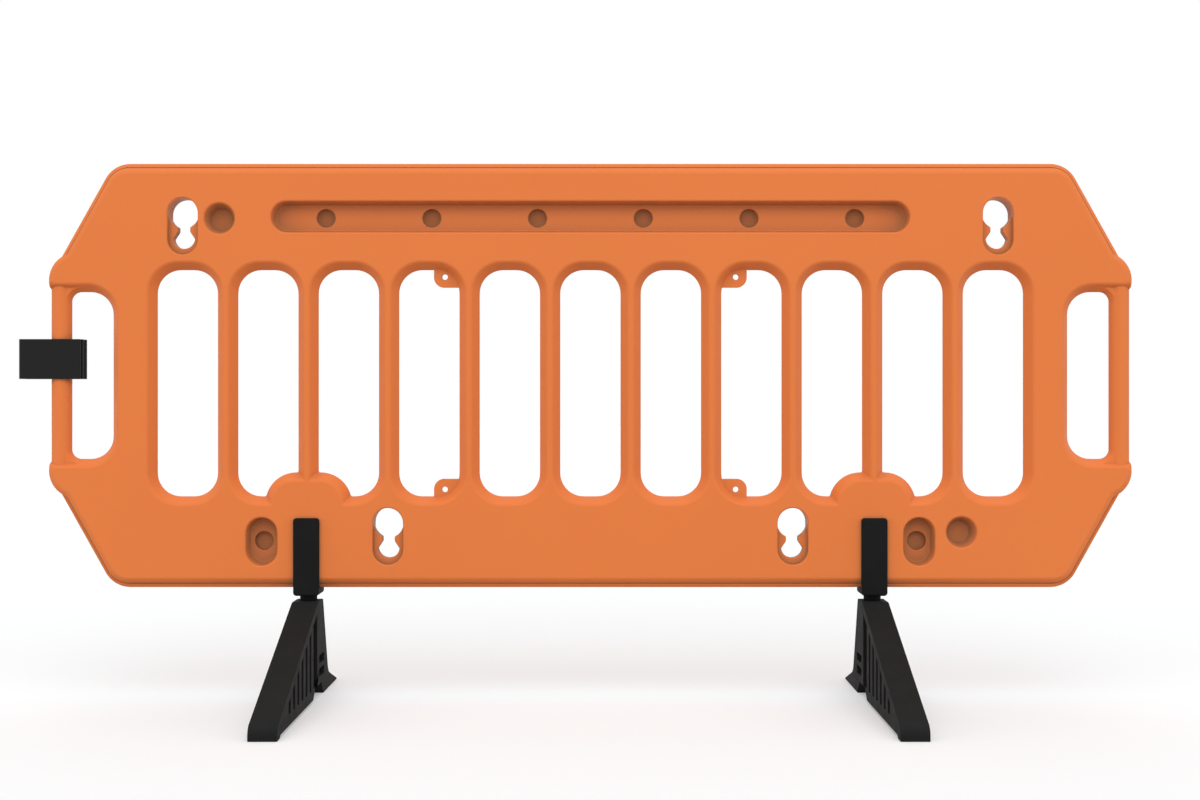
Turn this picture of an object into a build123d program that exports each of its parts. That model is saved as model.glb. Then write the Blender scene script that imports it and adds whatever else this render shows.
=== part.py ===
# Pedestrian barricade: a slotted moulded panel on two swivelling feet, with a link clip on one handle.
# Millimetres. +Z is up, the front faces -Y, and the origin is on the ground under the middle of the
# whole outline, feet and clip included.
import os
from math import cos, hypot, radians, sin, tan

from build123d import *

# Panel outline, measured on its mid-plane
PANEL_LENGTH = 1990.0
PANEL_HEIGHT = 780.2
PANEL_THICK = 47.0
GROUND_GAP = 199.7
TOP_INSET = 116.6
CORNER_R = 52.0
RIM_WIDTH = 9.0
RIM_THICK = 24.0
FACE_EDGE = 8.0
DRAFT = 31.7

# Rounded shoulders above and below each handle
SHOULDER_R = 51.0
SHOULDER_RISE = 21.9
SHOULDER_BULGE = 3.2
SLOPE_END_ANGLE = 30.0

# Handle openings and the round bars that close them
HANDLE_DEPTH = 76.5
HANDLE_HEIGHT = 306.2
HANDLE_CORNER_R = 41.0
BAR_D = 36.5
BAR_INSET = 1.0
GUSSET_R = 18.6
GUSSET_THICK = 28.0

# Upright slots, between a top and a bottom band; as many as fit between posts of a least width
SLOT_PITCH = 148.65
SLOT_WIDTH = 109.7
SLOT_R = 42.5
TOP_BAND = 196.4
BOTTOM_BAND = 167.9
END_POST_LEAST = 60.0

# Rounded bosses above the feet, which stand this many slot pitches from the panel's middle
FOOT_PITCH_COUNT = 3.5
BOSS_WIDTH = 161.4
BOSS_HEIGHT = 116.4
BOSS_RISE = 153.9

# Tabs with a hole for a sign, in the slots second from the middle one
TAB_SLOT = 2
TAB_WIDTH = 46.0
TAB_DROP = 31.5
TAB_R = 18.5
TAB_THICK = 8.0
TAB_HOLE_D = 10.5
TAB_HOLE_ASIDE = 25.8
TAB_HOLE_DROP = 12.1

# Long groove with dimples along the top of the front face
GROOVE_LENGTH = 1172.6
GROOVE_HEIGHT = 57.7
GROOVE_INSET = 99.4
GROOVE_DEPTH = 27.0
GROOVE_DRAFT = 11.0
DIMPLE_COUNT = 6
DIMPLE_PITCH = 195.5
DIMPLE_D = 34.0
DIMPLE_DEPTH = 14.0

# Two round cups, one at the top left and one at the bottom right of the front face
CUP_X = 680.3
CUP_INSET = 102.3
CUP_D = 58.0
CUP_DEPTH = 28.0
CUP_DRAFT = 19.7

# Upright pockets beside the feet, each with a dimple in its floor
POCKET_ASIDE = 82.7
POCKET_RISE = 85.0
POCKET_WIDTH = 58.5
POCKET_HEIGHT = 89.4
POCKET_DEPTH = 27.0
POCKET_DRAFT = 10.0

# Keyholes: a round hole, a neck and a stud hole below it, in the floor of a pocket in each face
KEYHOLE_END_INSET = 247.0
KEYHOLE_TOP_INSET = 91.9
KEYHOLE_ASIDE = 148.8
KEYHOLE_RISE = 119.0
KEYHOLE_WIDTH = 55.4
KEYHOLE_HEIGHT = 104.0
KEYHOLE_DEPTH = 13.0
KEYHOLE_NECK_WIDTH = 22.4
KEYHOLE_NECK_DROP = 33.8
STUD_WIDTH = 40.0
STUD_DROP = 47.1
STUD_BOTTOM = 65.0

# Saddle bracket over the panel's lower edge above each foot, with a round seat under its web
TONGUE_WIDTH = 47.5
TONGUE_THICK = 8.0
TONGUE_RISE = 128.5
TONGUE_CORNER_R = 6.0
WEB_THICK = 13.8
BRACKET_FIT = 0.2
SEAT_D = 31.4
SEAT_HEIGHT = 10.0

# Swivel: a post pressed into the bracket's seat, running in the foot, held by a fork across two flats
POST_D = 20.0
POST_FIT = 0.08
POST_FLATS = 15.0
POST_FLATS_DROP = 1.2
POST_TAIL = 6.0
RUN_GAP = 0.2
FORK_WIDTH = 34.0
FORK_THICK = 3.0
FORK_FIT = 0.1

# Foot, seen from its side: reach towards the front, height above the ground
FOOT_THICK = 47.9
FOOT_FRONT = 425.0
FOOT_REAR = 177.0
FOOT_DECK_FRONT = 39.6
FOOT_DECK_REAR = 18.0
FOOT_DECK_R = 22.0
FOOT_BACK_R = 4.0
TOE_HEIGHT = 22.0
TOE_R = 20.0
TOE_PAD = 25.0
TOE_PAD_HEIGHT = 5.0
ARCH_FRONT = 88.0
ARCH_HEIGHT = 23.0
ARCH_SLOPE = 22.0
HEEL_PAD_FRONT = 22.0
HEEL_TIP = 3.0
HEEL_NECK_REACH = 76.0
HEEL_NECK_HEIGHT = 32.0
HEEL_R = 35.0

# Recesses in both sides of the foot, with a web left between them
RECESS_DEPTH = 15.0
RECESS_COVER = 19.0
RECESS_FLOOR = 25.0
RECESS_PITCH = 39.5
RECESS_COUNT = 6
RECESS_WIDTH = 17.0
RECESS_FIRST = 118.0
WIDE_RECESS_REAR = 47.0
WIDE_RECESS_WIDTH = 39.0

# Windows through the foot below the post, one above the other
WINDOW_COUNT = 2
WINDOW_WIDTH = 53.0
WINDOW_HEIGHT = 14.5
WINDOW_TOP = 75.5
WINDOW_PITCH = 24.0
WINDOW_SHIFT = 1.5

# Link clip: a sprung channel pushed over this panel's bar and the next panel's bar
CLIP_WALL = 3.7
CLIP_FIT = 0.3
CLIP_HEIGHT = 73.1
CLIP_RISE = 30.0
CLIP_END_R = 5.5
CLIP_BAR_GAP = 14.8
CLIP_LIP = 25.0
CLIP_BEND_BACK = 16.5
CLIP_MOUTH = 11.0
CLIP_BEAD_D = 7.0
CLIP_RIB_HEIGHT = 6.3
CLIP_RIB_ANGLE = 45.0

# Cuts run this far past the face they come out of
CUT_PAST = 1.0

# Bar, handle opening and clip, along the panel's length from its centre
bar_r = BAR_D / 2
bar_x = PANEL_LENGTH / 2 - BAR_INSET - bar_r
handle_x = bar_x - bar_r - HANDLE_DEPTH
clip_open_x = bar_x - bar_r - CLIP_LIP
clip_closed_x = bar_x + BAR_D + CLIP_BAR_GAP + bar_r + CLIP_FIT + CLIP_WALL

# Place of the panel: the whole outline is centred on the origin
panel_x = (clip_closed_x - PANEL_LENGTH / 2) / 2
panel_y = (FOOT_FRONT - FOOT_REAR) / 2
panel_z = GROUND_GAP + PANEL_HEIGHT / 2
half_thick = PANEL_THICK / 2
mid = Plane(origin=(panel_x, panel_y, panel_z), x_dir=(1, 0, 0), z_dir=(0, -1, 0))
front = mid.offset(half_thick)
back = mid.offset(-half_thick)

# Slots to each side of the middle one, and the feet's distance from the middle
side_slots = int((handle_x - END_POST_LEAST - SLOT_WIDTH / 2) / SLOT_PITCH)
slots = [SLOT_PITCH * i for i in range(-side_slots, side_slots + 1)]
foot_x = SLOT_PITCH * FOOT_PITCH_COUNT

# Heights of the swivel's seats
web_bottom = GROUND_GAP - WEB_THICK
deck_top = web_bottom - SEAT_HEIGHT
sides = (("left", -1), ("right", 1))


def foot_axis(sign):
    """Upright plane through a foot's swivel axis: x towards the front, y up, normal to the left."""
    return Plane(origin=(panel_x + sign * foot_x, panel_y, 0), x_dir=(0, -1, 0), z_dir=(-1, 0, 0))


def level(sign, height):
    """Level plane at a height above the ground, centred on a foot's swivel axis."""
    return Plane(origin=(panel_x + sign * foot_x, panel_y, height))


def finish(piece, name):
    """Label a finished piece and write it."""
    piece.part.label = name
    export_step(piece.part, f"parts/{name}.step")


os.makedirs("parts", exist_ok=True)

# Corner points of the panel's outline, right half from the top down, then the left half
top_x = PANEL_LENGTH / 2 - TOP_INSET
half_height = PANEL_HEIGHT / 2
half_handle = HANDLE_HEIGHT / 2
shoulder_x = PANEL_LENGTH / 2 - SHOULDER_R
shoulder_z = half_handle + SHOULDER_RISE
slope_reach = SHOULDER_R - SHOULDER_BULGE
slope_x = shoulder_x + slope_reach * cos(radians(SLOPE_END_ANGLE))
slope_z = shoulder_z + slope_reach * sin(radians(SLOPE_END_ANGLE))
upper = [(top_x, half_height), (slope_x, slope_z), (shoulder_x, shoulder_z)]
right = upper + [(x, -z) for x, z in reversed(upper)]
outline = right + [(-x, z) for x, z in reversed(right)]
outline_radii = [CORNER_R if abs(z) == half_height else 0 for x, z in outline]
corners = [(sx, sz) for sx in (-1, 1) for sz in (-1, 1)]
slot_height = PANEL_HEIGHT - TOP_BAND - BOTTOM_BAND
slot_z = (BOTTOM_BAND - TOP_BAND) / 2
bosses = [(sign * foot_x, BOSS_RISE - half_height) for name, sign in sides]

with BuildPart() as panel:
    # Thin rim that runs along the top, the slopes and the bottom
    with BuildSketch(mid) as rim_outline:
        with BuildLine():
            FilletPolyline(*outline, radius=outline_radii, close=True)
        make_face()
    extrude(amount=RIM_THICK / 2, both=True)

    # Full-thickness body inside the rim, with the shoulders, and eased face edges
    with BuildSketch(mid):
        offset(rim_outline.sketch_local, amount=-RIM_WIDTH)
        with Locations(*[(sx * shoulder_x, sz * shoulder_z) for sx, sz in corners]):
            Circle(SHOULDER_R)
    extrude(amount=half_thick, both=True)
    broad = panel.faces().filter_by(Axis.Y).sort_by(Axis.Y)
    chamfer(broad[0].edges() + broad[-1].edges(), FACE_EDGE)

    # Slots, less the bosses, drafted from the parting line at mid-thickness to both faces
    with BuildSketch(mid):
        with Locations(*[(x, slot_z) for x in slots]):
            RectangleRounded(SLOT_WIDTH, slot_height, SLOT_R)
        with Locations(*bosses):
            SlotOverall(BOSS_WIDTH, BOSS_HEIGHT, mode=Mode.SUBTRACT)
    extrude(amount=half_thick + CUT_PAST, both=True, taper=-DRAFT, mode=Mode.SUBTRACT)

    # Handle openings, open to the outside
    opening_length = PANEL_LENGTH / 2 + SHOULDER_R - handle_x
    with BuildSketch(mid):
        with Locations(*[(sign * (handle_x + opening_length / 2), 0) for name, sign in sides]):
            RectangleRounded(opening_length, HANDLE_HEIGHT, HANDLE_CORNER_R)
    extrude(amount=half_thick + CUT_PAST, both=True, taper=-DRAFT, mode=Mode.SUBTRACT)

    # Handle bars, and a rounded gusset in the corner at each end of them
    draft_reach = half_thick * tan(radians(DRAFT))
    bar_length = HANDLE_HEIGHT + 2 * draft_reach
    with BuildSketch(Plane(origin=(panel_x, panel_y, panel_z - bar_length / 2))):
        with Locations(*[(sign * bar_x, 0) for name, sign in sides]):
            Circle(bar_r)
    extrude(amount=bar_length)
    gusset_x = bar_x - bar_r - GUSSET_R
    gusset_z = half_handle - GUSSET_R
    gusset_top = half_handle + GUSSET_THICK / 2
    with BuildSketch(mid):
        for sx, sz in corners:
            with BuildLine():
                Polyline(
                    (sx * gusset_x, sz * gusset_z),
                    (sx * bar_x, sz * gusset_z),
                    (sx * bar_x, sz * gusset_top),
                    (sx * gusset_x, sz * gusset_top),
                    close=True,
                )
            make_face()
        with Locations(*[(sx * gusset_x, sz * gusset_z) for sx, sz in corners]):
            Circle(GUSSET_R, mode=Mode.SUBTRACT)
    extrude(amount=GUSSET_THICK / 2, both=True)

    # Sign tabs at the top and bottom of two slots, on the side nearest the middle
    tab_edge = SLOT_PITCH * TAB_SLOT - SLOT_WIDTH / 2
    tab_x = tab_edge + TAB_HOLE_ASIDE
    tab_rise = slot_height / 2 - TAB_HOLE_DROP
    tab_root = draft_reach / 2
    with BuildSketch(mid):
        for sx, sz in corners:
            tab = [
                (tab_edge - tab_root, slot_height / 2 + tab_root),
                (tab_edge + TAB_WIDTH, slot_height / 2 + tab_root),
                (tab_edge + TAB_WIDTH, slot_height / 2 - TAB_DROP),
                (tab_edge - tab_root, slot_height / 2 - TAB_DROP),
            ]
            with BuildLine():
                FilletPolyline(
                    *[(sx * x, slot_z + sz * z) for x, z in tab], radius=[0, 0, TAB_R, 0], close=True
                )
            make_face()
    extrude(amount=TAB_THICK / 2, both=True)
    with BuildSketch(mid.offset(TAB_THICK / 2)):
        with Locations(*[(sx * tab_x, slot_z + sz * tab_rise) for sx, sz in corners]):
            Circle(TAB_HOLE_D / 2)
    extrude(amount=-TAB_THICK, mode=Mode.SUBTRACT)

    # Groove, dimples, cups and pockets in the front face
    groove_z = half_height - GROOVE_INSET
    with BuildSketch(front):
        with Locations((0, groove_z)):
            SlotOverall(GROOVE_LENGTH, GROOVE_HEIGHT)
    extrude(amount=-GROOVE_DEPTH, taper=GROOVE_DRAFT, mode=Mode.SUBTRACT)
    dimples = [DIMPLE_PITCH * (i - (DIMPLE_COUNT - 1) / 2) for i in range(DIMPLE_COUNT)]
    with BuildSketch(front.offset(-GROOVE_DEPTH)):
        with Locations(*[(x, groove_z) for x in dimples]):
            Circle(DIMPLE_D / 2)
    extrude(amount=-DIMPLE_DEPTH, mode=Mode.SUBTRACT)
    with BuildSketch(front):
        with Locations((-CUP_X, half_height - CUP_INSET), (CUP_X, CUP_INSET - half_height)):
            Circle(CUP_D / 2)
    extrude(amount=-CUP_DEPTH, taper=CUP_DRAFT, mode=Mode.SUBTRACT)
    pockets = [(sign * (foot_x + POCKET_ASIDE), POCKET_RISE - half_height) for name, sign in sides]
    with BuildSketch(front):
        with Locations(*pockets):
            SlotOverall(POCKET_HEIGHT, POCKET_WIDTH, rotation=90)
    extrude(amount=-POCKET_DEPTH, taper=POCKET_DRAFT, mode=Mode.SUBTRACT)
    with BuildSketch(front.offset(-POCKET_DEPTH)):
        with Locations(*pockets):
            Circle(DIMPLE_D / 2)
    extrude(amount=-DIMPLE_DEPTH, mode=Mode.SUBTRACT)

    # Keyholes: the round hole, neck and stud hole right through, then a pocket below them in each face
    upper_hole = (PANEL_LENGTH / 2 - KEYHOLE_END_INSET, half_height - KEYHOLE_TOP_INSET)
    lower_hole = (foot_x - KEYHOLE_ASIDE, KEYHOLE_RISE - half_height)
    keyholes = [(sign * x, z) for x, z in (upper_hole, lower_hole) for name, sign in sides]
    keyhole_r = KEYHOLE_WIDTH / 2
    with BuildSketch(front):
        with Locations(*keyholes):
            Circle(keyhole_r)
        for x, z in keyholes:
            with BuildLine():
                Polyline(
                    (x - STUD_WIDTH / 2, z - STUD_DROP),
                    (x - KEYHOLE_NECK_WIDTH / 2, z - KEYHOLE_NECK_DROP),
                    (x - KEYHOLE_NECK_WIDTH / 2, z),
                    (x + KEYHOLE_NECK_WIDTH / 2, z),
                    (x + KEYHOLE_NECK_WIDTH / 2, z - KEYHOLE_NECK_DROP),
                    (x + STUD_WIDTH / 2, z - STUD_DROP),
                )
                ThreePointArc(
                    (x + STUD_WIDTH / 2, z - STUD_DROP),
                    (x, z - STUD_BOTTOM),
                    (x - STUD_WIDTH / 2, z - STUD_DROP),
                )
            make_face()
    extrude(amount=-PANEL_THICK, mode=Mode.SUBTRACT)
    pocket_drop = KEYHOLE_HEIGHT - KEYHOLE_WIDTH
    for face, inward in ((front, -1), (back, 1)):
        with BuildSketch(face):
            with Locations(*keyholes):
                Rectangle(KEYHOLE_WIDTH, pocket_drop, align=(Align.CENTER, Align.MAX))
            with Locations(*[(x, z - pocket_drop) for x, z in keyholes]):
                Circle(keyhole_r)
        extrude(amount=inward * KEYHOLE_DEPTH, mode=Mode.SUBTRACT)
finish(panel, "panel")

# Brackets: a channel over the panel's lower edge, with a tongue up each face
tongue_in = half_thick + BRACKET_FIT
tongue_out = tongue_in + TONGUE_THICK
for name, sign in sides:
    with BuildPart() as bracket:
        with BuildSketch(foot_axis(sign)):
            with Locations((0, web_bottom)):
                Rectangle(
                    2 * tongue_out, WEB_THICK + TONGUE_RISE, align=(Align.CENTER, Align.MIN)
                )
            with Locations((0, GROUND_GAP)):
                Rectangle(
                    2 * tongue_in, TONGUE_RISE, align=(Align.CENTER, Align.MIN), mode=Mode.SUBTRACT
                )
        extrude(amount=TONGUE_WIDTH / 2, both=True)
        heights = bracket.edges().filter_by(Axis.Y).group_by(Axis.Z)
        fillet(heights[0] + heights[-1], TONGUE_CORNER_R)
        with BuildSketch(level(sign, deck_top + RUN_GAP)):
            Circle(SEAT_D / 2)
        extrude(amount=SEAT_HEIGHT - RUN_GAP)
        with BuildSketch(level(sign, deck_top + RUN_GAP)):
            Circle(POST_D / 2)
        extrude(amount=GROUND_GAP - deck_top, mode=Mode.SUBTRACT)
    finish(bracket, f"{name}_bracket")

# Swivel posts, from just under the panel down to a tail inside each foot's upper window
flats_top = WINDOW_TOP - POST_FLATS_DROP
flats_bottom = flats_top - FORK_THICK - 2 * FORK_FIT
flats_depth = (POST_D - POST_FLATS) / 2
axes = [(sign * foot_x, 0) for name, sign in sides]
with BuildPart() as swivel_posts:
    with BuildSketch(Plane(origin=(panel_x, panel_y, flats_bottom - POST_TAIL))):
        with Locations(*axes):
            Circle(POST_D / 2)
    extrude(amount=GROUND_GAP - RUN_GAP - flats_bottom + POST_TAIL)
    with BuildSketch(Plane(origin=(panel_x, panel_y, flats_bottom))):
        for x, y in axes:
            with Locations((x, POST_FLATS / 2 + flats_depth), (x, -POST_FLATS / 2 - flats_depth)):
                Rectangle(POST_D + CUT_PAST, 2 * flats_depth)
    extrude(amount=flats_top - flats_bottom, mode=Mode.SUBTRACT)
finish(swivel_posts, "swivel_posts")

# Fork plates pushed on across the posts' flats towards the panel's middle, inside the feet's upper windows
fork_slot = FORK_WIDTH / 2 + POST_D / 2 + FORK_FIT
fork_middle = fork_slot / 2 - POST_D / 2 - FORK_FIT
with BuildPart() as post_clips:
    with BuildSketch(Plane(origin=(panel_x, panel_y, flats_bottom + FORK_FIT))):
        with Locations(*axes):
            Rectangle(FORK_WIDTH, FORK_WIDTH)
        with Locations(*[(sign * (foot_x + fork_middle), 0) for name, sign in sides]):
            Rectangle(fork_slot, POST_FLATS + 2 * FORK_FIT, mode=Mode.SUBTRACT)
    extrude(amount=FORK_THICK)
finish(post_clips, "post_clips")

# Feet: side profile from the deck round by the toe and the heel
slope = (deck_top - TOE_HEIGHT) / (FOOT_FRONT - FOOT_DECK_FRONT)
profile = [
    ((-FOOT_DECK_REAR, deck_top), FOOT_BACK_R),
    ((FOOT_DECK_FRONT, deck_top), FOOT_DECK_R),
    ((FOOT_FRONT, TOE_HEIGHT), TOE_R),
    ((FOOT_FRONT, 0), 0),
    ((FOOT_FRONT - TOE_PAD, 0), 0),
    ((FOOT_FRONT - TOE_PAD - TOE_PAD_HEIGHT, TOE_PAD_HEIGHT), 0),
    ((ARCH_FRONT, TOE_PAD_HEIGHT), 0),
    ((ARCH_FRONT - ARCH_SLOPE, ARCH_HEIGHT), 0),
    ((ARCH_SLOPE - HEEL_PAD_FRONT, ARCH_HEIGHT), 0),
    ((-HEEL_PAD_FRONT, 0), 0),
    ((-FOOT_REAR, 0), 0),
    ((-FOOT_REAR, HEEL_TIP), 0),
    ((-HEEL_NECK_REACH, HEEL_NECK_HEIGHT), HEEL_R),
]
recesses = [RECESS_FIRST + i * RECESS_PITCH for i in range(RECESS_COUNT)]
recess_rear = WIDE_RECESS_REAR
recess_front = recesses[-1] + RECESS_WIDTH
windows = [WINDOW_TOP - WINDOW_HEIGHT / 2 - i * WINDOW_PITCH for i in range(WINDOW_COUNT)]
for name, sign in sides:
    axis = foot_axis(sign)
    with BuildPart() as foot:
        with BuildSketch(axis):
            with BuildLine():
                FilletPolyline(
                    *[point for point, r in profile], radius=[r for point, r in profile], close=True
                )
            make_face()
        extrude(amount=FOOT_THICK / 2, both=True)

        # Recesses in both sides, cut off below the sloping top
        for side in (-1, 1):
            with BuildSketch(axis.offset(side * FOOT_THICK / 2)):
                with Locations(*[(d, RECESS_FLOOR) for d in recesses]):
                    Rectangle(RECESS_WIDTH, deck_top, align=(Align.CENTER, Align.MIN))
                with Locations((recess_rear, RECESS_FLOOR)):
                    Rectangle(WIDE_RECESS_WIDTH, deck_top, align=(Align.MIN, Align.MIN))
                with BuildLine():
                    Polyline(
                        (recess_rear, 0),
                        (recess_front, 0),
                        (recess_front, deck_top - RECESS_COVER - slope * (recess_front - FOOT_DECK_FRONT)),
                        (recess_rear, deck_top - RECESS_COVER - slope * (recess_rear - FOOT_DECK_FRONT)),
                        close=True,
                    )
                make_face(mode=Mode.INTERSECT)
            extrude(amount=-side * RECESS_DEPTH, mode=Mode.SUBTRACT)

        # Windows under the post, and the post's bore down into the upper one
        with BuildSketch(axis):
            with Locations(*[(-WINDOW_SHIFT, z) for z in windows]):
                Rectangle(WINDOW_WIDTH, WINDOW_HEIGHT)
        extrude(amount=FOOT_THICK / 2, both=True, mode=Mode.SUBTRACT)
        with BuildSketch(level(sign, deck_top)):
            Circle(POST_D / 2 + POST_FIT)
        extrude(amount=WINDOW_TOP - deck_top, mode=Mode.SUBTRACT)
    finish(foot, f"{name}_foot")

# Link clip: one channel section, closed at the outer end, extruded up the bar
clip_in = bar_r + CLIP_FIT
clip_out = clip_in + CLIP_WALL
clip_middle = clip_in + CLIP_WALL / 2
clip_plane = Plane(origin=(panel_x, panel_y, panel_z + CLIP_RISE))
bend_x = -clip_open_x - CLIP_BEND_BACK
bead_r = CLIP_BEAD_D / 2
bead_x = -clip_open_x - bead_r
bead_y = CLIP_MOUTH / 2 + bead_r
lip_slope = (clip_middle - bead_y) / (bead_x - bend_x)
lip_half = CLIP_WALL / 2 * hypot(1, lip_slope)
rib_slope = tan(radians(CLIP_RIB_ANGLE))
rib_tip = clip_in * tan(radians(CLIP_RIB_ANGLE / 2)) + CLIP_RIB_HEIGHT / rib_slope
rib_base = (CLIP_RIB_HEIGHT + CLIP_WALL / 2) / rib_slope
with BuildPart() as link_clip:
    with BuildSketch(clip_plane):
        with BuildLine():
            FilletPolyline(
                (bend_x, clip_out),
                (-clip_closed_x, clip_out),
                (-clip_closed_x, -clip_out),
                (bend_x, -clip_out),
                radius=CLIP_END_R,
            )
            Line((bend_x, -clip_out), (bend_x, clip_out))
        make_face()
        with BuildLine():
            Polyline(
                (bend_x, clip_in),
                (CLIP_WALL - clip_closed_x, clip_in),
                (CLIP_WALL - clip_closed_x, -clip_in),
                (bend_x, -clip_in),
                close=True,
            )
        make_face(mode=Mode.SUBTRACT)

        # Ribs that hold the bar, then lips bent in past it, with a bead along each
        for arm in (-1, 1):
            for rib_x in (-bar_x - rib_tip, -bar_x + rib_tip):
                with BuildLine():
                    Polyline(
                        (rib_x - rib_base, arm * clip_middle),
                        (rib_x, arm * (clip_in - CLIP_RIB_HEIGHT)),
                        (rib_x + rib_base, arm * clip_middle),
                        close=True,
                    )
                make_face()
            with BuildLine():
                Polyline(
                    (bend_x, arm * clip_out),
                    (bead_x, arm * (bead_y + lip_half)),
                    (bead_x, arm * (bead_y - lip_half)),
                    (bend_x, arm * clip_in),
                    close=True,
                )
            make_face()
            with Locations((bead_x, arm * bead_y)):
                Circle(bead_r)
    extrude(amount=CLIP_HEIGHT / 2, both=True)
finish(link_clip, "link_clip")
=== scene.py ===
from itertools import product
from math import atan2, hypot, pi, radians, sin, sqrt, tan

import bmesh
import bpy
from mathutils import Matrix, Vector


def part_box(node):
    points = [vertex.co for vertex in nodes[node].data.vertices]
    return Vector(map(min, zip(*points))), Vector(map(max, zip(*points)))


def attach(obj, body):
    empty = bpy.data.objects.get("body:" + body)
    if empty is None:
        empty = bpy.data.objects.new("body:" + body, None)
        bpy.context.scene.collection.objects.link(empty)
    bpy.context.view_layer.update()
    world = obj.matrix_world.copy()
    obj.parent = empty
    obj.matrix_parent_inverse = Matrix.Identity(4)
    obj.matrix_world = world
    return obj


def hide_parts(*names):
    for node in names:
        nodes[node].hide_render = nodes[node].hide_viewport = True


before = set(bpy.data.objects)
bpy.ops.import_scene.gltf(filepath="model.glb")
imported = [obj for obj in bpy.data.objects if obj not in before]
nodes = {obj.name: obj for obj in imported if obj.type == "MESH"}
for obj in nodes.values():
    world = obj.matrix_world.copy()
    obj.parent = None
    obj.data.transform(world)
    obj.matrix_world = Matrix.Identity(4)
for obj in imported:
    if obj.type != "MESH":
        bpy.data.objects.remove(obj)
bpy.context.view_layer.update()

scene = bpy.context.scene
scene.view_settings.view_transform = "Standard"
MM = 0.001

# Camera at the photo's angle: level, square to the panel's front
CAMERA_LENS = 50
CAMERA_SENSOR = 36
CAMERA_PLACE = (0.0449, -2.954, 0.5446)
camera_data = bpy.data.cameras.new("camera")
camera_data.lens = CAMERA_LENS
camera_data.sensor_width = CAMERA_SENSOR
camera = bpy.data.objects.new("camera", camera_data)
camera.location = CAMERA_PLACE
camera.rotation_euler = (radians(90), 0, 0)
scene.collection.objects.link(camera)
scene.camera = camera

# The panel's middle and half sizes, from its own box
low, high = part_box("panel")
PANEL_X, PANEL_Y, PANEL_Z = (low + high) / 2
_, HALF_THICK, HALF_HEIGHT = (high - low) / 2

# Tolerances, and the edges that count as flat, sharp or short
WELD = 0.01 * MM
ON_WALL = 5 * WELD
NEAR = 0.2 * MM
FLAT_ANGLE = radians(0.5)
SHARP_ANGLE = radians(26)
SHORT_EDGE = 4 * MM
UPRIGHT_SHARE = 0.9

# Rounding of the panel's edges
FACE_ROUND = 4.0 * MM
STEEP_FACE_ROUND = 3.0 * MM
STEEP_FACE_ANGLE = radians(70)
WALL_ROUND = 2.5 * MM
STEP_ROUND = 0.8 * MM
TAB_ROUND = 1.2 * MM
KEYHOLE_ROUND = 1.5 * MM

# Rounding of the black pieces' edges
FOOT_ROUND = 1.4 * MM
BRACKET_FACE_ROUND = 4.0 * MM
BRACKET_ROUND = 1.0 * MM
BRACKET_STAND_OUT = 3 * MM
LIP_ROUND = 4.0 * MM
CLIP_UPRIGHT_ROUND = 1.5 * MM
CLIP_ROUND = 0.8 * MM
ROUND_SEGMENTS = 3
BROAD_FACE_WEIGHT = 100

# Where the panel's features are, from its middle
STEP_DEPTH = 15.5 * MM
SHOULDER_X = 950 * MM
BAR_END_X = 915 * MM
BAR_END_LOW, BAR_END_HIGH = 126 * MM, 172 * MM
SLOPE_EASE_ANGLE = radians(45)
TAB_DEPTH = 4 * MM
TAB_NEAR_X, TAB_FAR_X = 200 * MM, 310 * MM
KEYHOLE_FLOOR = 10.5 * MM
KEYHOLE_BESIDE = 16 * MM
KEYHOLE_BELOW = 24 * MM
KEYHOLES = [
    (side * x * MM, z * MM) for side in (-1, 1) for x, z in ((748.0, 298.2), (371.5, -271.1))
]

# Handle bars and the webs in the corners of their openings, from the panel's middle
BAR_X = 975.75 * MM
BAR_R = 18.25 * MM
WEB_R = 18.6 * MM
WEB_DEPTH = 14 * MM
WEB_X = BAR_X - BAR_R - WEB_R
WEB_Z = 153.1 * MM - WEB_R
WEB_END = 1.5 * WEB_R
DRAFT_SLOPE = tan(radians(31.7))

# The rim round the panel's top, bottom and slopes, and the rounded corners between them
RIM_WIDTH = 9 * MM
RIM_DEPTH = 12 * MM
RIM_FALL = 5.5 * MM
CREASE_WIDTH = 1.8 * MM
CREASE_DEPTH = 2.2 * MM
BEAD_WIDTH = RIM_WIDTH - CREASE_WIDTH
CORNER_R = 52 * MM
SLOPE_TOP = Vector((878.4 * MM, HALF_HEIGHT))
SLOPE_FOOT = Vector((985.4 * MM, 198.9 * MM))

# Where the clip's lips bend in on the solid, from its bar's middle, and how much farther on here
LIP_BEND = 26.75 * MM
LIP_OUTER = 22.25 * MM
LIP_OUTER_SHIFT = 14.5 * MM
LIP_INNER_SHIFT = 11.0 * MM

# The clip's closed end, from its bar's middle, and its corners' radius on the solid and here
END_X = -73.55 * MM
END_R = 5.5 * MM
END_R_HERE = 6.5 * MM


def near(a, b):
    """Whether two distances in metres agree closely enough."""
    return abs(a - b) < NEAR


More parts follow.
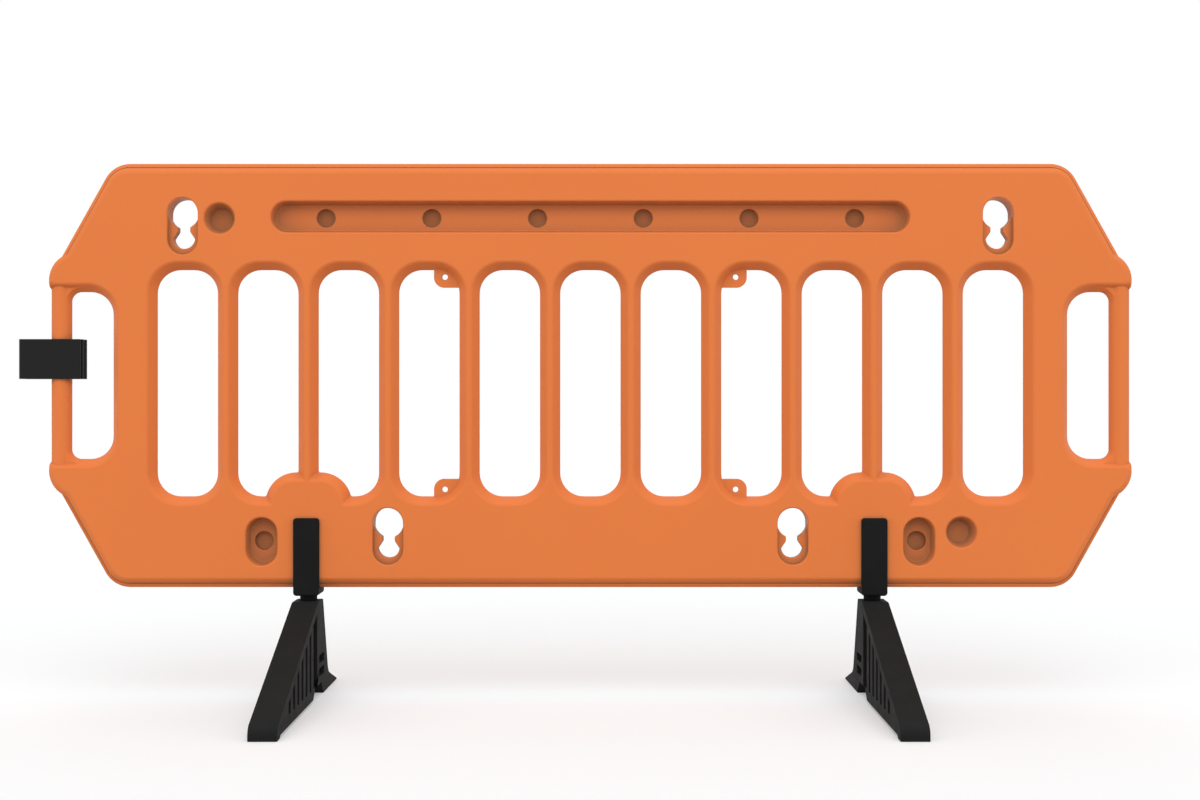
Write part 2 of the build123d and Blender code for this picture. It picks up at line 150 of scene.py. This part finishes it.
def ease_webs(bm):
    """Take away the step where the webs stand out from the handle bars.

    Each web's wall gets the bar's round section at one end and the opening's draft at the other.
    """
    for sx, sz in product((-1, 1), repeat=2):

        def place(v):
            """Across and up from the centre of the web's round wall, towards its corner."""
            return sx * (v.co.x - PANEL_X) - WEB_X, sz * (v.co.z - PANEL_Z) - WEB_Z

        def on_wall(v):
            return abs(hypot(*place(v)) - WEB_R) < ON_WALL and min(place(v)) > -WELD

        def on_end(v):
            across, up = place(v)
            deep = abs(v.co.y - PANEL_Y) < WEB_DEPTH + WELD
            return deep and abs(min(across, up)) < ON_WALL and max(across, up) < WEB_END

        faces = [
            f
            for f in bm.faces
            if all(on_wall(v) for v in f.verts) or all(on_end(v) for v in f.verts)
        ]
        ends = [f for f in faces if not all(on_wall(v) for v in f.verts)]
        levels = {round(v.co.y - PANEL_Y, 6) for f in ends for v in f.verts}
        geom = list({g for f in faces for g in (f, *f.edges, *f.verts)})
        for level in sorted(levels)[1:-1]:
            cut = bmesh.ops.bisect_plane(
                bm, geom=geom, dist=WELD, plane_co=(0, PANEL_Y + level, 0), plane_no=(0, 1, 0)
            )
            geom = cut["geom"]
        corners = [g for g in geom if isinstance(g, bmesh.types.BMVert)]
        wall = [v for v in corners if on_wall(v)]
        ends = [
            g
            for g in geom
            if isinstance(g, bmesh.types.BMFace) and not all(on_wall(v) for v in g.verts)
        ]
        bmesh.ops.delete(bm, geom=ends, context="FACES_ONLY")
        for v in wall:
            across, up = place(v)
            deep = abs(v.co.y - PANEL_Y)
            turn = atan2(up, across) / (pi / 2)
            at_bar = BAR_R + WEB_R - sqrt(BAR_R**2 - deep**2)
            at_opening = WEB_R + DRAFT_SLOPE * deep
            grown = (at_bar + (at_opening - at_bar) * turn) / hypot(across, up)
            v.co.x = PANEL_X + sx * (WEB_X + across * grown)
            v.co.z = PANEL_Z + sz * (WEB_Z + up * grown)
        bmesh.ops.remove_doubles(bm, verts=corners, dist=2 * WELD)


def inset(x, z):
    """How far inside the outline of the panel's top, bottom and slopes a point is."""
    point = Vector((abs(x), abs(z)))
    down = (SLOPE_FOOT - SLOPE_TOP).normalized()
    out = Vector((-down.y, down.x))
    middle = Vector((SLOPE_TOP.x - CORNER_R * (1 - out.y) / out.x, HALF_HEIGHT - CORNER_R))
    apart = point - middle
    if apart.x > 0 and apart.dot(down) < 0:
        return CORNER_R - apart.length
    return min(HALF_HEIGHT - point.y, (SLOPE_TOP - point).dot(out))


def shape_rim(v):
    """Turn the panel's flat rim into a bead that falls to its edge, with a crease at the step."""
    deep = v.co.y - PANEL_Y
    side = 1 if deep > 0 else -1
    inside = max(inset(v.co.x - PANEL_X, v.co.z - PANEL_Z), 0)
    if inside < BEAD_WIDTH and abs(deep) < RIM_DEPTH + NEAR:
        v.co.y -= deep * RIM_FALL / RIM_DEPTH * (1 - inside / BEAD_WIDTH) ** 2
    elif inside < RIM_WIDTH - NEAR / 2 and RIM_DEPTH < abs(deep) < RIM_DEPTH + CREASE_WIDTH:
        sunk = CREASE_DEPTH * sin(pi * (inside - BEAD_WIDTH) / CREASE_WIDTH)
        v.co.y = PANEL_Y + side * (RIM_DEPTH - sunk)


def shape_clip(bm):
    """Run the clip's arms on before their lips bend in, and round its closed end more."""
    for v in bm.verts:
        along = v.co.x - PANEL_X + BAR_X
        across = abs(v.co.y - PANEL_Y)
        if near(along, LIP_BEND):
            v.co.x += LIP_OUTER_SHIFT if near(across, LIP_OUTER) else LIP_INNER_SHIFT
        out = Vector((END_X + END_R - along, across - LIP_OUTER + END_R))
        if min(out) > -WELD and near(out.length, END_R):
            out *= END_R_HERE / END_R
            side = 1 if v.co.y > PANEL_Y else -1
            v.co.x = PANEL_X - BAR_X + END_X + END_R_HERE - out.x
            v.co.y = PANEL_Y + side * (LIP_OUTER - END_R_HERE + out.y)


def soft_copy(node, name, body, width_of, short=0.0, mend=None, form=None):
    """A copy of a CAD node with its sharp edges rounded; width_of gives an edge's rounding.

    A sharp edge shorter than short that starts from a corner of a front or back face is closed
    up first. mend changes the copy before its edges are rounded, and form moves its points after.
    """
    bm = bmesh.new()
    bm.from_mesh(nodes[node].data)
    bmesh.ops.remove_doubles(bm, verts=bm.verts, dist=WELD)
    bmesh.ops.dissolve_limit(
        bm, angle_limit=FLAT_ANGLE, verts=bm.verts, edges=bm.edges, delimit=set()
    )
    if mend:
        mend(bm)
    close = {}
    for v in bm.verts:
        sharp = [e for e in v.link_edges if abs(e.calc_face_angle_signed(0)) > SHARP_ANGLE]
        if len(sharp) > 2 and near(abs(v.co.y - PANEL_Y), HALF_THICK):
            close.update({e.other_vert(v): v for e in sharp if e.calc_length() < short})
    bmesh.ops.weld_verts(bm, targetmap=close)
    layer = bm.edges.layers.float.new("bevel_weight_edge")
    widths = {}
    for e in bm.edges:
        angle = e.calc_face_angle_signed(0)
        if abs(angle) > SHARP_ANGLE:
            widths[e] = width_of(e, angle)
    most = max(widths.values())
    for e, w in widths.items():
        e[layer] = w / most
        e.smooth = w > 0
    for f in bm.faces:
        f.smooth = True
    mesh = bpy.data.meshes.new(name)
    bm.to_mesh(mesh)
    bm.free()
    piece = bpy.data.objects.new(name, mesh)
    scene.collection.objects.link(piece)
    soft = piece.modifiers.new("soft_edges", "BEVEL")
    soft.limit_method = "WEIGHT"
    soft.width = most
    soft.segments = ROUND_SEGMENTS
    soft.use_clamp_overlap = False
    soft.loop_slide = False
    if form:
        ready = piece.evaluated_get(bpy.context.evaluated_depsgraph_get())
        piece.data = bpy.data.meshes.new_from_object(ready)
        piece.modifiers.clear()
        formed = bmesh.new()
        formed.from_mesh(piece.data)
        for v in formed.verts:
            form(v)
        bmesh.ops.remove_doubles(formed, verts=formed.verts, dist=WELD)
        formed.to_mesh(piece.data)
        formed.free()
    flat = piece.modifiers.new("flat_faces", "WEIGHTED_NORMAL")
    flat.mode = "FACE_AREA"
    flat.weight = BROAD_FACE_WEIGHT
    flat.keep_sharp = True
    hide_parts(node)
    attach(piece, body)
    return piece


def from_keyhole(point):
    """How far a point is beside and below the middle of the nearest keyhole's round hole."""
    apart = [(point.x - PANEL_X - x, PANEL_Z + z - point.z) for x, z in KEYHOLES]
    return min(apart, key=lambda a: a[0] ** 2 + a[1] ** 2)


def panel_edge(e, angle):
    """Rounding of one of the panel's edges, by where it is; a hollow edge's angle is negative."""
    depths = [abs(v.co.y - PANEL_Y) for v in e.verts]
    xs = [abs(v.co.x - PANEL_X) for v in e.verts]
    zs = [abs(v.co.z - PANEL_Z) for v in e.verts]

    def all_at(depth):
        return all(near(d, depth) for d in depths)

    if all_at(HALF_THICK):
        return FACE_ROUND if angle < STEEP_FACE_ANGLE else STEEP_FACE_ROUND
    # Where the handle bars run into the shoulders: only the parting line is rounded
    if min(xs) > BAR_END_X and all(BAR_END_LOW < z < BAR_END_HIGH for z in zs):
        return WALL_ROUND if all_at(0) and angle > 0 else 0.0
    # Where the slopes' eased edges run into the shoulders
    if min(xs) > SHOULDER_X and -SLOPE_EASE_ANGLE < angle < 0:
        return 0.0
    # The step down to the rim
    if all_at(STEP_DEPTH):
        return STEP_ROUND
    if all_at(RIM_DEPTH) and angle < 0:
        return 0.0 if min(xs) > SHOULDER_X else CREASE_WIDTH
    # The sign tabs
    at_tab = max(depths) < TAB_DEPTH + NEAR and any(near(d, TAB_DEPTH) for d in depths)
    if at_tab and TAB_NEAR_X < min(xs) and max(xs) < TAB_FAR_X:
        return TAB_ROUND if angle > 0 else 0.0
    # Floors of the keyhole pockets
    if all_at(KEYHOLE_FLOOR):
        beside, below = from_keyhole((e.verts[0].co + e.verts[1].co) / 2)
        at_side = abs(beside) > KEYHOLE_BESIDE and below < KEYHOLE_BELOW
        return 0.0 if angle < 0 or at_side else KEYHOLE_ROUND
    return WALL_ROUND


def foot_edge(e, angle):
    """Rounding of a foot's edges: even on the outside, none in the recesses' corners."""
    return 0.0 if angle < 0 else FOOT_ROUND


def bracket_edge(e, angle):
    """Rounding of a bracket's edges: broad round its outer faces, slight elsewhere."""
    outer = max(abs(v.co.y - PANEL_Y) for f in e.link_faces for v in f.verts)
    if angle < 0:
        return 0.0
    stands_out = outer > HALF_THICK + BRACKET_STAND_OUT
    if stands_out and all(near(abs(v.co.y - PANEL_Y), outer) for v in e.verts):
        return BRACKET_FACE_ROUND
    return BRACKET_ROUND


def clip_edge(e, angle):
    """Rounding of the clip's edges: broad where its lips bend in, slight elsewhere."""
    if angle < 0:
        return 0.0
    upright = abs(e.verts[0].co.z - e.verts[1].co.z) > UPRIGHT_SHARE * e.calc_length()
    if upright and near(e.verts[0].co.x - PANEL_X + BAR_X, LIP_BEND + LIP_OUTER_SHIFT):
        return LIP_ROUND
    return CLIP_UPRIGHT_ROUND if upright else CLIP_ROUND


SIDES = ("left", "right")
panel = soft_copy(
    "panel",
    "panel_moulding",
    "panel",
    panel_edge,
    short=SHORT_EDGE,
    mend=ease_webs,
    form=shape_rim,
)
feet = [
    soft_copy(f"{side}_foot", f"{side}_foot_moulding", f"{side}_foot", foot_edge)
    for side in SIDES
]
brackets = [
    soft_copy(
        f"{side}_bracket", f"{side}_bracket_moulding", "panel", bracket_edge
    )
    for side in SIDES
]
clip = soft_copy(
    "link_clip", "link_clip_moulding", "link_clip", clip_edge, mend=shape_clip
)


def empty_tree(owner):
    """The emptied node tree of a material or world."""
    owner.use_nodes = True
    owner.node_tree.nodes.clear()
    return owner.node_tree


def make(t, kind, settings=None, **inputs):
    """A shader node with its settings; each input is a value or another node's output."""
    n = t.nodes.new("ShaderNode" + kind)
    for key, value in (settings or {}).items():
        setattr(n, key, value)
    for key, value in inputs.items():
        feed(t, n.inputs[key.replace("_", " ")], value)
    return n


def feed(t, socket, value):
    """Set a socket to a value, or link another node's output to it."""
    if isinstance(value, bpy.types.NodeSocket):
        t.links.new(value, socket)
    else:
        socket.default_value = value


def join(t, kind, values, operation=None):
    """The output of a node whose inputs are given in order."""
    n = t.nodes.new("ShaderNode" + kind)
    if operation:
        n.operation = operation
    for socket, value in zip(n.inputs, values):
        feed(t, socket, value)
    return n.outputs[0]


def math(t, operation, *values):
    """The output of a math node."""
    return join(t, "Math", values, operation)


def noise(t, where, scale, detail=3.0, roughness=0.55):
    """Noise from 0 to 1, with so many features to the metre."""
    n = make(t, "TexNoise", Vector=where, Scale=scale, Detail=detail, Roughness=roughness)
    return n.outputs["Fac"]


def ranged(t, value, source, target):
    """A value carried from one range to another, held at its ends."""
    n = make(
        t,
        "MapRange",
        Value=value,
        From_Min=source[0],
        From_Max=source[1],
        To_Min=target[0],
        To_Max=target[1],
    )
    return n.outputs["Result"]


def blend(t, amount, first, second):
    """Two colours mixed."""
    return make(t, "MixRGB", Fac=amount, Color1=first, Color2=second).outputs["Color"]


def bump(t, height, distance, strength, under=None):
    """A bump of so many metres, on top of another one if given."""
    inputs = {"Height": height, "Distance": distance, "Strength": strength}
    if under is not None:
        inputs["Normal"] = under
    return make(t, "Bump", **inputs).outputs["Normal"]


def colour(r, g, b):
    """An opaque colour."""
    return (r, g, b, 1)


def grey(value):
    """An opaque grey."""
    return colour(value, value, value)


# The range that most of a noise's values fall in, and a share from none to all
MIDDLE = (0.3, 0.7)
SHARE = (0.0, 1.0)

ORANGE_LOW = colour(0.760, 0.202, 0.0535)
ORANGE_HIGH = colour(0.788, 0.212, 0.0575)
ORANGE_FLECK = colour(0.774, 0.207, 0.0555)
# Painted shade: a darker, browner orange that ambient occlusion lays into the recesses and
# creases, within the reach and range below
ORANGE_PAINTED_SHADE = colour(0.400, 0.168, 0.072)
PAINTED_SHADE_REACH = 0.06
PAINTED_SHADE_RANGE = (0.42, 0.86)
# Paler grey for up-facing black faces: partly dust, partly painted light on the tops
DUST_AND_TOP_LIGHT = colour(0.050, 0.064, 0.062)
ZINC = colour(0.55, 0.55, 0.54)
SPANGLE_SHARE = 0.12
TURNING_MARKS = (40.0, 40.0, 2600.0)


def orange_plastic():
    """Through-coloured moulded plastic: faint clouding, fine grain, and painted shade that makes
    the recesses darker and browner.
    """
    material = bpy.data.materials.new("orange_plastic")
    t = empty_tree(material)
    where = make(t, "TexCoord").outputs["Object"]
    clouds = ranged(t, noise(t, where, scale=2.6, detail=2.0), MIDDLE, SHARE)
    flecks = noise(t, where, scale=45.0, detail=5.0, roughness=0.6)
    base = blend(t, clouds, ORANGE_LOW, ORANGE_HIGH)
    base = blend(t, ranged(t, flecks, MIDDLE, (0.0, 0.6)), base, ORANGE_FLECK)
    # Painted shade: the base darkens towards the browner orange where ambient occlusion finds
    # recesses and creases
    open_air = make(t, "AmbientOcclusion", {"samples": 8}, Distance=PAINTED_SHADE_REACH).outputs["AO"]
    painted_shade = ranged(t, open_air, PAINTED_SHADE_RANGE, (1.0, 0.0))
    base = blend(t, painted_shade, base, ORANGE_PAINTED_SHADE)
    peel = noise(t, where, scale=170.0, detail=2.0)
    normal = bump(t, peel, distance=0.4 * MM, strength=0.06)
    grain = noise(t, where, scale=1500.0, detail=2.0)
    normal = bump(t, grain, distance=0.1 * MM, strength=0.10, under=normal)
    rough = ranged(t, noise(t, where, scale=14.0, detail=4.0), MIDDLE, (0.40, 0.50))
    shader = make(
        t,
        "BsdfPrincipled",
        Base_Color=base,
        Roughness=rough,
        Normal=normal,
        Specular_IOR_Level=0.10,
    )
    make(t, "OutputMaterial", Surface=shader.outputs["BSDF"])
    return material


def black_plastic(name, base, fleck, rough, specular, grain_scale, grain_height, dust_and_top_light=0.0):
    """Black moulded plastic with grain and paler flecks, and a paler grey on what faces up:
    partly dust, partly painted light on the tops.
    """
    material = bpy.data.materials.new(name)
    t = empty_tree(material)
    where = make(t, "TexCoord").outputs["Object"]
    clouds = ranged(t, noise(t, where, scale=16.0, detail=4.0), MIDDLE, SHARE)
    shade = blend(t, clouds, grey(0.9 * base), grey(1.1 * base))
    flecks = ranged(t, noise(t, where, scale=900.0, detail=2.0), (0.66, 0.74), (0.0, 0.5))
    shade = blend(t, flecks, shade, grey(fleck))
    if dust_and_top_light:
        # Up-facing faces made paler in patches: partly dust, partly painted light on the tops
        normal = make(t, "NewGeometry").outputs["Normal"]
        facing_up = make(t, "SeparateXYZ", Vector=normal).outputs["Z"]
        patches = ranged(t, noise(t, where, scale=60.0, detail=6.0), (0.25, 0.75), (0.4, 1.0))
        dust_and_top_light_share = math(t, "MULTIPLY", ranged(t, facing_up, (0.1, 0.8), (0.0, dust_and_top_light)), patches)
        shade = blend(t, dust_and_top_light_share, shade, DUST_AND_TOP_LIGHT)
    wavy = noise(t, where, scale=55.0, detail=2.0)
    normal = bump(t, wavy, distance=0.5 * MM, strength=0.05)
    grain = noise(t, where, scale=grain_scale, detail=3.0)
    normal = bump(t, grain, distance=grain_height, strength=0.25, under=normal)
    uneven = noise(t, where, scale=30.0, detail=4.0)
    shader = make(
        t,
        "BsdfPrincipled",
        Base_Color=shade,
        Roughness=ranged(t, uneven, MIDDLE, (rough - 0.06, rough + 0.06)),
        Normal=normal,
        Specular_IOR_Level=specular,
    )
    make(t, "OutputMaterial", Surface=shader.outputs["BSDF"])
    return material


def zinc_steel():
    """Zinc-plated steel: a faint spangle, and turning marks round the posts."""
    material = bpy.data.materials.new("zinc_steel")
    t = empty_tree(material)
    where = make(t, "TexCoord").outputs["Object"]
    spangle = make(t, "TexVoronoi", Vector=where, Scale=260.0).outputs["Color"]
    shade = blend(t, SPANGLE_SHARE, ZINC, spangle)
    stretch = make(t, "Mapping", Vector=where, Scale=TURNING_MARKS).outputs["Vector"]
    marks = noise(t, stretch, scale=1.0, detail=2.0)
    uneven = noise(t, where, scale=120.0, detail=4.0)
    shader = make(
        t,
        "BsdfPrincipled",
        Base_Color=shade,
        Roughness=ranged(t, uneven, MIDDLE, (0.28, 0.45)),
        Normal=bump(t, marks, distance=0.05 * MM, strength=0.2),
        Metallic=1.0,
    )
    make(t, "OutputMaterial", Surface=shader.outputs["BSDF"])
    return material


panel.data.materials.append(orange_plastic())
foot_black = black_plastic(
    "foot_plastic",
    base=0.0160,
    fleck=0.05,
    rough=0.62,
    specular=0.03,
    grain_scale=420.0,
    grain_height=0.3 * MM,
    # The paler tops are partly dust, partly painted light
    dust_and_top_light=0.12,
)
bracket_black = black_plastic(
    "bracket_plastic",
    base=0.0122,
    fleck=0.03,
    rough=0.58,
    specular=0.03,
    grain_scale=800.0,
    grain_height=0.12 * MM,
)
clip_black = black_plastic(
    "clip_plastic",
    base=0.0015,
    fleck=0.008,
    rough=0.16,
    specular=0.25,
    grain_scale=1200.0,
    grain_height=0.05 * MM,
)
for piece in feet:
    piece.data.materials.append(foot_black)
for piece in brackets:
    piece.data.materials.append(bracket_black)
clip.data.materials.append(clip_black)
steel = zinc_steel()
for name in ("swivel_posts", "post_clips"):
    nodes[name].data.materials.clear()
    nodes[name].data.materials.append(steel)


def shown(t):
    """1 for what the camera sees, also in a reflection or through glass; 0 for other light."""
    path = make(t, "LightPath").outputs
    seen = math(t, "MAXIMUM", path["Is Camera Ray"], path["Is Transmission Ray"])
    return math(t, "MAXIMUM", seen, path["Is Glossy Ray"])


# Pale floor that keeps the object's shadow, a touch cool against the panel's warm bounce
FLOOR_HALF = 30.0
FLOOR_UNSEEN = grey(0.52)
FLOOR_SEEN = colour(0.70, 0.713, 0.720)
FLOOR_GLOW = 0.28
corners = [(x * FLOOR_HALF, y * FLOOR_HALF, 0) for x, y in ((-1, -1), (1, -1), (1, 1), (-1, 1))]
floor_mesh = bpy.data.meshes.new("floor")
floor_mesh.from_pydata(corners, [], [(0, 1, 2, 3)])
floor = bpy.data.objects.new("floor", floor_mesh)
scene.collection.objects.link(floor)
floor_material = bpy.data.materials.new("floor")
t = empty_tree(floor_material)
under = make(t, "BsdfDiffuse", Color=FLOOR_UNSEEN).outputs[0]
lit = make(t, "BsdfDiffuse", Color=FLOOR_SEEN).outputs[0]
glow = make(t, "Emission", Strength=FLOOR_GLOW).outputs[0]
pale = join(t, "AddShader", (lit, glow))
make(t, "OutputMaterial", Surface=join(t, "MixShader", (shown(t), under, pale)))
floor_mesh.materials.append(floor_material)

# Soft studio light, plain white to the camera: each box's direction, narrowness and strength
HORIZON_GLOW = 0.28
SOFT_BOXES = (
    ((0, -0.77, 0.64), 6.0, 2.42),  # high in front
    ((0, 0, 1), 6.0, 0.9),  # overhead
    ((0, 0.8, 0.6), 6.0, 1.6),  # high behind
    ((-0.93, -0.37, 0), 16.0, 3.9),  # a strip at each end
    ((0.93, -0.37, 0), 16.0, 3.9),
)
WHITE = grey(1)
world = bpy.data.worlds.new("world")
scene.world = world
t = empty_tree(world)
ray = make(t, "TexCoord").outputs["Generated"]


def soft_box(towards, narrow, strength):
    """Light from one direction, falling off evenly around it."""
    n = t.nodes.new("ShaderNodeVectorMath")
    n.operation = "DOT_PRODUCT"
    t.links.new(ray, n.inputs[0])
    n.inputs[1].default_value = towards
    facing = math(t, "MAXIMUM", n.outputs["Value"], 0.0)
    return math(t, "MULTIPLY", math(t, "POWER", facing, narrow), strength)


height = make(t, "SeparateXYZ", Vector=ray).outputs["Z"]
strength = ranged(t, height, (0.0, 1.0), (HORIZON_GLOW, 0.0))
for box in SOFT_BOXES:
    strength = math(t, "ADD", strength, soft_box(*box))
dome = make(t, "Background", Color=WHITE, Strength=strength).outputs[0]
white = make(t, "Background", Color=WHITE, Strength=1.0).outputs[0]
make(t, "OutputWorld", Surface=join(t, "MixShader", (shown(t), dome, white)))
